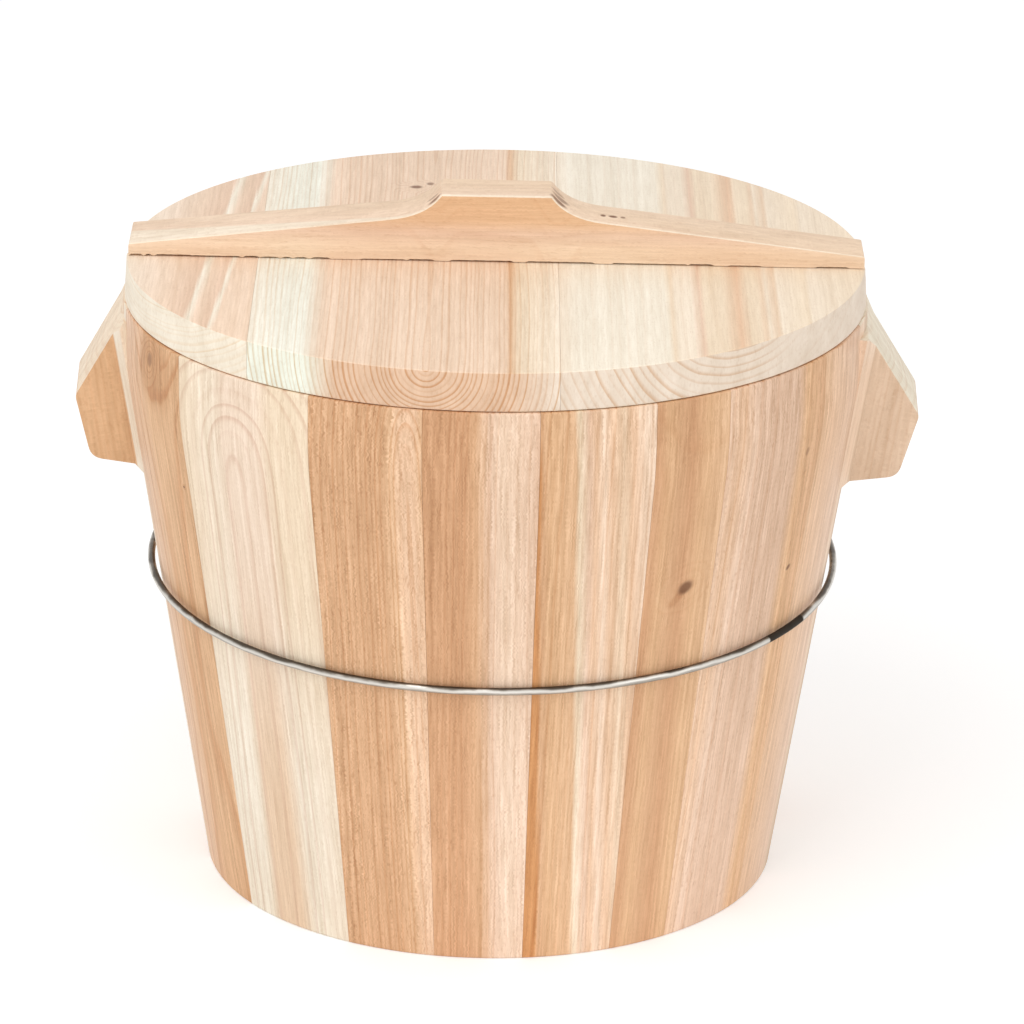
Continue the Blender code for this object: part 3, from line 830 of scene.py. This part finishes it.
def build_hoop():
    """Wire hoop of fine round section, higher at the back and a little oval."""
    standoff = (WIRE_DIAMETER / 2 + SEAT_GAP) / math.cos(math.atan(TAPER))
    middle = (HOOP_FRONT_HEIGHT + HOOP_BACK_HEIGHT) / 2
    front = Vector((0.0, -outer_radius(HOOP_FRONT_HEIGHT) - standoff, HOOP_FRONT_HEIGHT))
    back = Vector((0.0, outer_radius(HOOP_BACK_HEIGHT) + standoff, HOOP_BACK_HEIGHT))
    radius = (back - front).length / 2
    oval = (outer_radius(middle) + standoff + HOOP_SIDE_GAP) / radius
    tilt = math.atan2(back.z - front.z, back.y - front.y)
    bm = bmesh.new()
    turn = Matrix.Translation((0.0, -radius, 0.0)) @ Matrix.Rotation(math.pi / 2, 4, "Y")
    ring = bmesh.ops.create_circle(bm, segments=WIRE_SIDES, radius=WIRE_DIAMETER / 2, matrix=turn)["verts"]
    edges = list({edge for vert in ring for edge in vert.link_edges})
    bmesh.ops.spin(bm, geom=edges + ring, cent=CENTRE, axis=UP, angle=2 * math.pi,
                   steps=HOOP_STEPS, use_merge=True, use_duplicate=False)
    place = Matrix.Translation((front + back) / 2) @ Matrix.Rotation(tilt, 4, "X")
    bmesh.ops.transform(bm, matrix=place @ Matrix.Scale(oval, 4, RIGHT), verts=bm.verts[:])
    hand_over(new_piece("wire_hoop_drawn", bm), "wire_hoop", "tub", drawn_wire())


# Lid

def bar_width(x):
    return lerp(BAR_WIDTH_LEFT, BAR_WIDTH_RIGHT, x / BAR_LENGTH + 0.5)


def bar_centre(x):
    return lerp(BAR_CENTRE_LEFT, BAR_CENTRE_RIGHT, x / BAR_LENGTH + 0.5)


def dovetail(name, grow, length, top):
    """Tapered dovetail key under the bar, grown all round for its groove."""
    half = length / 2
    low = LID_SEAT + LID_THICKNESS - DOVETAIL_DEPTH
    corners = [(-half, -1.0), (half, -1.0), (half, 1.0), (-half, 1.0)]
    bm = prism([(x, side, low - grow) for x, side in corners], (0.0, 0.0, top - low + grow))
    for vert in bm.verts:
        flare = DOVETAIL_FLARE / DOVETAIL_DEPTH * (vert.co.z - low)
        reach = bar_width(vert.co.x) / 2 - DOVETAIL_INSET - flare + grow
        vert.co.y = bar_centre(vert.co.x) + math.copysign(reach, vert.co.y)
    return new_piece(name, bm)


def seam_lift(x):
    """How far the bar's lower edge stands up from the lid where their seam is open."""
    lift = 0.0
    for start, end, depth in OPEN_SEAM:
        inside = min(x - start, end - x) / SEAM_SOFTNESS
        lift = max(lift, depth * min(1.0, max(0.0, inside)))
    wave = math.prod(math.sin(pace * x) for pace in SEAM_WAVES)
    return lift * (1 - SEAM_WAVE_SHARE + SEAM_WAVE_SHARE * wave)


def build_bar():
    """Handle bar with a raised grip, softened along its top edges, over its dovetail key."""
    seat = LID_SEAT + LID_THICKNESS + SEAT_GAP
    half, grip = BAR_LENGTH / 2, GRIP_LENGTH / 2
    foot = BAR_SHOULDER / 4 + grip / 2
    places = [lerp(-half, half, step / SEAM_STEPS) for step in range(SEAM_STEPS + 1)]
    outline = [Vector((x, seat + seam_lift(x))) for x in places]
    outline += rounded_outline([
        (half, seat + BAR_END_HEIGHT, 0.0),
        (foot, seat + BAR_SHOULDER_HEIGHT, GRIP_FOOT_ROUND),
        (grip, seat + GRIP_HEIGHT, 0.0),
        (-grip, seat + GRIP_HEIGHT, 0.0),
        (-foot, seat + BAR_SHOULDER_HEIGHT, GRIP_FOOT_ROUND),
        (-half, seat + BAR_END_HEIGHT, 0.0),
    ])
    bm = prism([(p.x, -1.0, p.y) for p in outline], (0.0, 2.0, 0.0))
    for vert in bm.verts:
        reach = bar_width(vert.co.x) / 2 - GRIP_DRAFT * (vert.co.z - seat) / GRIP_HEIGHT
        vert.co.y = bar_centre(vert.co.x) + math.copysign(reach, vert.co.y)
    edges = []
    for edge in bm.edges:
        lowest = min(vert.co.z for vert in edge.verts)
        if lowest > seat + BAR_END_HEIGHT / 2 and edge.calc_face_angle(0.0) > BAR_FOLD:
            edges.append(edge)
    soften(bm, edges, BAR_SOFTENING)
    bar = new_piece("lid_handle_bar_carved", bm)
    carve(bar, dovetail("key_tool", 0.0, BAR_LENGTH - 2 * KEY_SETBACK, seat + BAR_END_HEIGHT / 3), "UNION")
    board = Board((0.0, 0.0, seat), UP, FRONT, RIGHT)
    hand_over(bar, "lid_handle_bar", "lid", fir("handle_bar_fir", board, **BAR_WOOD))


def build_lid():
    edges = (-LID_RADIUS, *LID_JOINTS, LID_RADIUS)
    for name, low, high in zip(("left", "middle", "right"), edges, edges[1:]):
        bm = bmesh.new()
        bmesh.ops.create_cone(bm, cap_ends=True, segments=LID_SEGMENTS, radius1=LID_RADIUS,
                              radius2=LID_RADIUS - LID_EDGE_INSET, depth=LID_THICKNESS,
                              matrix=Matrix.Translation((0.0, 0.0, LID_SEAT + LID_THICKNESS / 2)))
        soften(bm, [edge for edge in bm.edges if edge.calc_face_angle(0.0) > LID_FOLD], LID_SOFTENING)
        if low > -LID_RADIUS:
            trim(bm, (low + GLUE_LINE / 2, 0.0, 0.0), LEFT)
        if high < LID_RADIUS:
            trim(bm, (high - GLUE_LINE / 2, 0.0, 0.0), RIGHT)
        plank = new_piece(f"lid_plank_{name}_board", bm)
        groove = dovetail("groove_tool", SEAT_GAP, 3 * LID_RADIUS, LID_SEAT + 2 * LID_THICKNESS)
        carve(plank, groove, "DIFFERENCE")
        board = Board((0.0, 0.0, LID_SEAT + LID_THICKNESS), RIGHT, UP, BACK)
        hand_over(plank, f"lid_plank_{name}", "lid", fir(f"lid_{name}_fir", board, **LID_WOOD[name]))
    build_bar()


# Pieces that keep their solids

def dress_solids():
    """Wood for the grate and bamboo for the pins and dowels."""
    grate_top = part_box("grate_slat_1")[1][2]
    slat = Board((0.0, 0.0, grate_top), RIGHT, UP, BACK)
    batten = Board((0.0, 0.0, grate_top), BACK, UP, RIGHT)
    finishes = {
        "grate_slat": fir("grate_slat_fir", slat, **GRATE_WOOD),
        "grate_batten": fir("grate_batten_fir", batten, **GRATE_WOOD),
        "stave_pin": split_bamboo(),
    }
    finishes["lid_dowel"] = finishes["stave_pin"]
    for node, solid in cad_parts.items():
        for start, material in finishes.items():
            if node.startswith(start):
                for slot in solid.material_slots:
                    slot.material = material


# Looks of each board

# Bands are (place, colour); knots are (across, along, width, height, slant, darkness)
# A stave's fade is painted light: its foot made paler, standing in for light bounced up from the floor
STAVE_WOOD = {
    "ear_stave_left": dict(
        bands=((-0.035, PALE), (-0.0255, PALE), (-0.024, AMBER), (0.024, AMBER), (0.0255, PALE),
               (0.035, SAP)),
        lit_slope=LEFT_SLOPE_LIT, lines=0.3, figure=0.8, tone=0.98),
    "stave_front_1": dict(
        bands=((-0.034, BLUSH), (-0.010, FAWN), (0.004, AMBER), (0.034, AMBER)),
        pith=(0.007, -0.06), ring=0.0019, lines=0.9, painted_foot_light=0.05,
        knots=((0.0065, 0.2525, 0.0030, 0.0036, 0.3, 0.5), (0.010, 0.249, 0.020, 0.019, 0.0, 0.40),
               (0.028, 0.2008, 0.0007, 0.0007, 0.0, 1.0))),
    "stave_front_2": dict(
        bands=((-0.036, OAT), (-0.014, SAP), (-0.008, CREAM), (0.010, CREAM), (0.020, OAT), (0.036, OAT)),
        foot=((-0.036, PALE), (-0.014, PALE), (-0.007, SAND), (0.006, SAND), (0.013, PALE), (0.036, SAP)),
        pith=(-0.003, -0.002), arch=(0.204, 9.9), ring=0.0062, summer=0.5, lines=0.6, tint=ASH,
        figure=0.9),
    "stave_front_3": dict(
        bands=((-0.025, TAN), (0.007, TAN), (0.012, HONEY), (0.016, FAWN), (0.022, FAWN), (0.025, HONEY)),
        pith=(0.0185, -0.002), arch=(0.21, 2.3), ring=0.0021, lines=0.6, torn=0.003, pores=0.4,
        figure=1.8, painted_foot_light=0.12),
    "stave_front_4": dict(
        bands=((-0.025, HEART), (-0.004, HEART), (0.0008, TAN), (0.0035, FAWN), (0.007, BLUSH),
               (0.012, PEACH), (0.025, BLUSH)),
        pith=(-0.09, -0.02), ring=0.0026, torn=0.002, pores=0.25, drift=0.0127, tone=0.96, painted_foot_light=0.18),
    "stave_front_5": dict(
        bands=((-0.018, EMBER), (-0.0142, EMBER), (-0.0125, TAN), (-0.009, AMBER), (0.001, HONEY),
               (0.003, OAT), (0.007, BLUSH), (0.010, FAWN), (0.0135, PEACH), (0.017, FAWN),
               (0.022, SAND), (0.026, FAWN), (0.032, PEACH)),
        pith=(-0.08, -0.02), ring=0.0034, drift=0.0468, tone=0.95, painted_foot_light=0.18),
    "stave_front_6": dict(
        bands=((-0.02, TAN), (-0.012, HEART), (-0.007, AMBER), (-0.002, TAN), (0.004, HEART),
               (0.011, AMBER), (0.02, HONEY)),
        pith=(0.003, -0.09), ring=0.004, lines=0.3, figure=1.2, drift=0.018, tone=0.94, painted_foot_light=0.20,
        knots=((0.0030, 0.1748, 0.0040, 0.0034, 0.25, 0.95), (-0.0005, 0.1705, 0.0045, 0.003, 0.8, 0.3))),
    "stave_front_7": dict(
        bands=((-0.033, BLUSH), (-0.024, FAWN), (-0.018, BLUSH), (-0.012, CLAY), (0.010, CLAY),
               (0.017, AMBER), (0.028, TAN), (0.033, TAN)),
        pith=(-0.08, -0.03), ring=0.004, lines=0.3, pores=0.3, painted_foot_light=0.22,
        knots=((0.0207, 0.1671, 0.0018, 0.0014, 0.3, 0.9), (0.021, 0.222, 0.0016, 0.0022, 0.3, 0.5))),
    "stave_front_8": dict(
        bands=((-0.023, HONEY), (-0.012, FAWN), (0.010, BLUSH), (0.023, BLUSH)),
        lines=0.3, tone=0.98, painted_foot_light=0.10),
    "ear_stave_right": dict(
        bands=((-0.035, PEACH), (-0.0255, PEACH), (-0.024, DUSK), (0.024, DUSK), (0.0255, PEACH),
               (0.035, PEACH)),
        lit_slope=RIGHT_SLOPE_LIT, lines=0.3, figure=0.7),
    "stave_back_1": dict(
        bands=((-0.03, TAN), (0.0, AMBER), (0.03, HONEY)), pith=(-0.02, -0.05), lines=0.45),
    "stave_back_2": dict(
        bands=((-0.03, PEACH), (-0.01, CREAM), (0.01, OAT), (0.03, PALE)),
        pith=(-0.004, -0.004), arch=(0.12, 2.0), ring=0.0045, summer=0.6, tint=ASH, figure=0.6),
    "stave_back_3": dict(
        bands=((-0.033, HEART), (0.008, TAN), (0.013, FAWN), (0.033, BLUSH)),
        pith=(0.09, -0.03), pores=0.3, drift=-0.02),
    "stave_back_4": dict(
        bands=((-0.024, PALE), (0.0, SAP), (0.024, CREAM)), pith=(0.05, -0.03), ring=0.004, figure=0.6),
    "stave_back_5": dict(
        bands=((-0.028, AMBER), (-0.008, TAN), (0.004, HEART), (0.028, TAN)),
        pith=(0.004, -0.003), arch=(0.15, 1.6), ring=0.0024, pores=0.35),
    "stave_back_6": dict(
        bands=((-0.03, OAT), (-0.012, PEACH), (-0.006, BLUSH), (0.004, PEACH), (0.03, SAP)),
        pith=(-0.07, -0.02), ring=0.0036, figure=0.7, drift=0.03),
    "stave_back_7": dict(
        bands=((-0.023, CLAY), (0.0, BLUSH), (0.023, FAWN)), pith=(-0.03, -0.06), lines=0.3,
        knots=((-0.006, 0.12, 0.003, 0.0022, 0.4, 0.7),)),
    "stave_back_8": dict(
        bands=((-0.03, SAP), (0.004, OAT), (0.03, PEACH)),
        pith=(0.012, -0.006), arch=(0.10, 1.4), ring=0.005, summer=0.6, figure=0.6),
}
LID_WOOD = {
    "left": dict(
        bands=((-0.160, SAP), (-0.148, CREAM), (-0.135, PEACH), (-0.1245, BLUSH), (-0.1225, PALE),
               (-0.1195, PEACH), (-0.1135, BLUSH), (-0.112, PALE), (-0.110, PEACH), (-0.1025, PEACH)),
        ends=((-0.160, PALE), (-0.1025, PALE)),
        pith=(-0.150, 0.05), ring=0.0026, lines=0.2, tint=WHEAT, figure=0.8, drift=-0.07),
    "middle": dict(
        bands=((-0.103, PALE), (-0.090, MILK), (-0.080, MILK), (-0.072, PEACH), (0.004, PEACH),
               (0.0065, HONEY), (0.010, OAT), (0.027, SAP)),
        ends=((-0.103, RIM_MILK), (-0.078, RIM_MILK), (-0.066, RIM_TAN), (0.006, RIM_TAN),
              (0.027, RIM_CREAM)),
        pith=(-0.028, 0.001), ring=0.0021, lines=0.6, figure=0.8,
        knots=((-0.0363, 0.0984, 0.0029, 0.0025, 0.0, 0.9), (-0.0299, 0.1035, 0.0016, 0.0022, 0.0, 0.75))),
    "right": dict(
        bands=((0.027, SAP), (0.034, PALE), (0.071, PALE), (0.0745, OAT), (0.076, SAP), (0.083, SAP),
               (0.0865, BLUSH), (0.0885, OAT), (0.096, OAT), (0.1035, FAWN), (0.107, OAT), (0.111, OAT),
               (0.1135, SAND), (0.115, SAP), (0.1185, SAND), (0.1205, SAP), (0.132, OAT), (0.134, SAP),
               (0.16, OAT)),
        ends=((0.027, RIM_CREAM), (0.16, RIM_CREAM)),
        pith=(0.103, 0.025), ring=0.0034, plain=(0.105, 0.125), lines=0.15, figure=0.6),
}
BAR_WOOD = dict(
    bands=((-0.006, SAND), (0.006, SAND), (0.012, BLUSH), (0.018, HONEY), (0.030, AMBER)),
    top=((-0.040, SAND), (-0.008, SAND), (0.0126, PEACH), (0.0146, SAP), (0.040, SAP)),
    pith=(-0.02, -0.05), ring=0.005, lines=0.15, figure=0.6, tone=0.99,
    knots=((0.0062, -0.0266, 0.0026, 0.0032, 0.0, 0.85), (0.0008, -0.0275, 0.0018, 0.0028, 0.0, 0.5),
           (0.0068, 0.0264, 0.0030, 0.0036, 0.0, 0.9), (0.0005, 0.0275, 0.0030, 0.0036, 0.0, 0.7),
           (-0.0050, 0.0264, 0.0020, 0.0028, 0.0, 0.5), (0.0010, 0.0460, 0.0016, 0.0012, 0.0, 1.0),
           (0.0008, 0.0503, 0.0017, 0.0020, 0.0, 1.0), (0.0005, 0.0546, 0.0015, 0.0012, 0.0, 0.8)))
GRATE_WOOD = dict(
    bands=((-0.10, OAT), (-0.05, HONEY), (0.0, FAWN), (0.05, OAT), (0.10, HONEY)),
    pith=(0.02, -0.05), lines=0.5)


# Studio

def build_floor():
    """White floor that keeps the soft shadow."""
    bm = bmesh.new()
    bmesh.ops.create_grid(bm, x_segments=1, y_segments=1, size=FLOOR_REACH)
    floor = new_piece("studio_floor", bm)
    n = Nodes("studio_white")
    n.shader.inputs["Base Color"].default_value = FLOOR_WHITE
    n.shader.inputs["Roughness"].default_value = FLOOR_ROUGHNESS
    n.shader.inputs["Specular IOR Level"].default_value = 0.0
    n.shader.inputs["Emission Color"].default_value = FULL_WHITE
    path = n.add("ShaderNodeLightPath")
    seen = n.math("MAXIMUM", path.outputs["Is Camera Ray"], path.outputs["Is Glossy Ray"])
    n.feed(n.shader.inputs["Emission Strength"], n.math("MULTIPLY", seen, FLOOR_GLOW))
    floor.data.materials.append(n.material)


def build_world():
    """Even light from all sides, plain white to the camera and in reflections."""
    world = bpy.data.worlds.new("studio")
    bpy.context.scene.world = world
    world.use_nodes = True
    tree = world.node_tree
    path = tree.nodes.new("ShaderNodeLightPath")
    seen = tree.nodes.new("ShaderNodeMath")
    seen.operation = "MAXIMUM"
    tree.links.new(path.outputs["Is Camera Ray"], seen.inputs[0])
    tree.links.new(path.outputs["Is Glossy Ray"], seen.inputs[1])
    level = tree.nodes.new("ShaderNodeMapRange")
    level.inputs["To Min"].default_value = EVEN_LIGHT
    level.inputs["To Max"].default_value = 1.0
    tree.links.new(seen.outputs[0], level.inputs["Value"])
    tree.links.new(level.outputs[0], tree.nodes["Background"].inputs["Strength"])
    tree.nodes["Background"].inputs["Color"].default_value = FULL_WHITE


def build_lamp(name, place, watts):
    lamp = bpy.data.lights.new(name, "AREA")
    lamp.energy = watts
    lamp.size = LAMP_SIZE
    holder = bpy.data.objects.new(name, lamp)
    holder.location = place
    aim = Vector((0.0, 0.0, AIM_HEIGHT)) - Vector(place)
    holder.rotation_euler = aim.to_track_quat("-Z", "Y").to_euler()
    bpy.context.scene.collection.objects.link(holder)


def build_camera():
    """Long lens at the photograph's height, aimed past the picture's middle as the photograph is framed."""
    back = Vector((0.0, -math.cos(CAMERA_ELEVATION), math.sin(CAMERA_ELEVATION)))
    right = Vector(RIGHT)
    up = back.cross(right)
    rolled_right = right * math.cos(CAMERA_ROLL) + up * math.sin(CAMERA_ROLL)
    rolled_up = up * math.cos(CAMERA_ROLL) - right * math.sin(CAMERA_ROLL)
    turn = Matrix((rolled_right, rolled_up, back)).transposed().to_4x4()
    camera = bpy.data.cameras.new("photo_camera")
    camera.sensor_width = SENSOR
    camera.lens = FOCAL_PIXELS / IMAGE_SIZE * SENSOR
    camera.shift_x = 0.5 - AIM_PIXEL[0] / IMAGE_SIZE
    camera.shift_y = AIM_PIXEL[1] / IMAGE_SIZE - 0.5
    holder = bpy.data.objects.new("photo_camera", camera)
    holder.matrix_world = Matrix.Translation(back * CAMERA_DISTANCE + Vector((0.0, 0.0, AIM_HEIGHT))) @ turn
    bpy.context.scene.collection.objects.link(holder)
    bpy.context.scene.camera = holder


bpy.context.scene.view_settings.view_transform = "Standard"
build_camera()
build_world()
build_floor()
for lamp_row in LAMPS:
    build_lamp(*lamp_row)
build_tub()
build_hoop()
build_lid()
dress_solids()
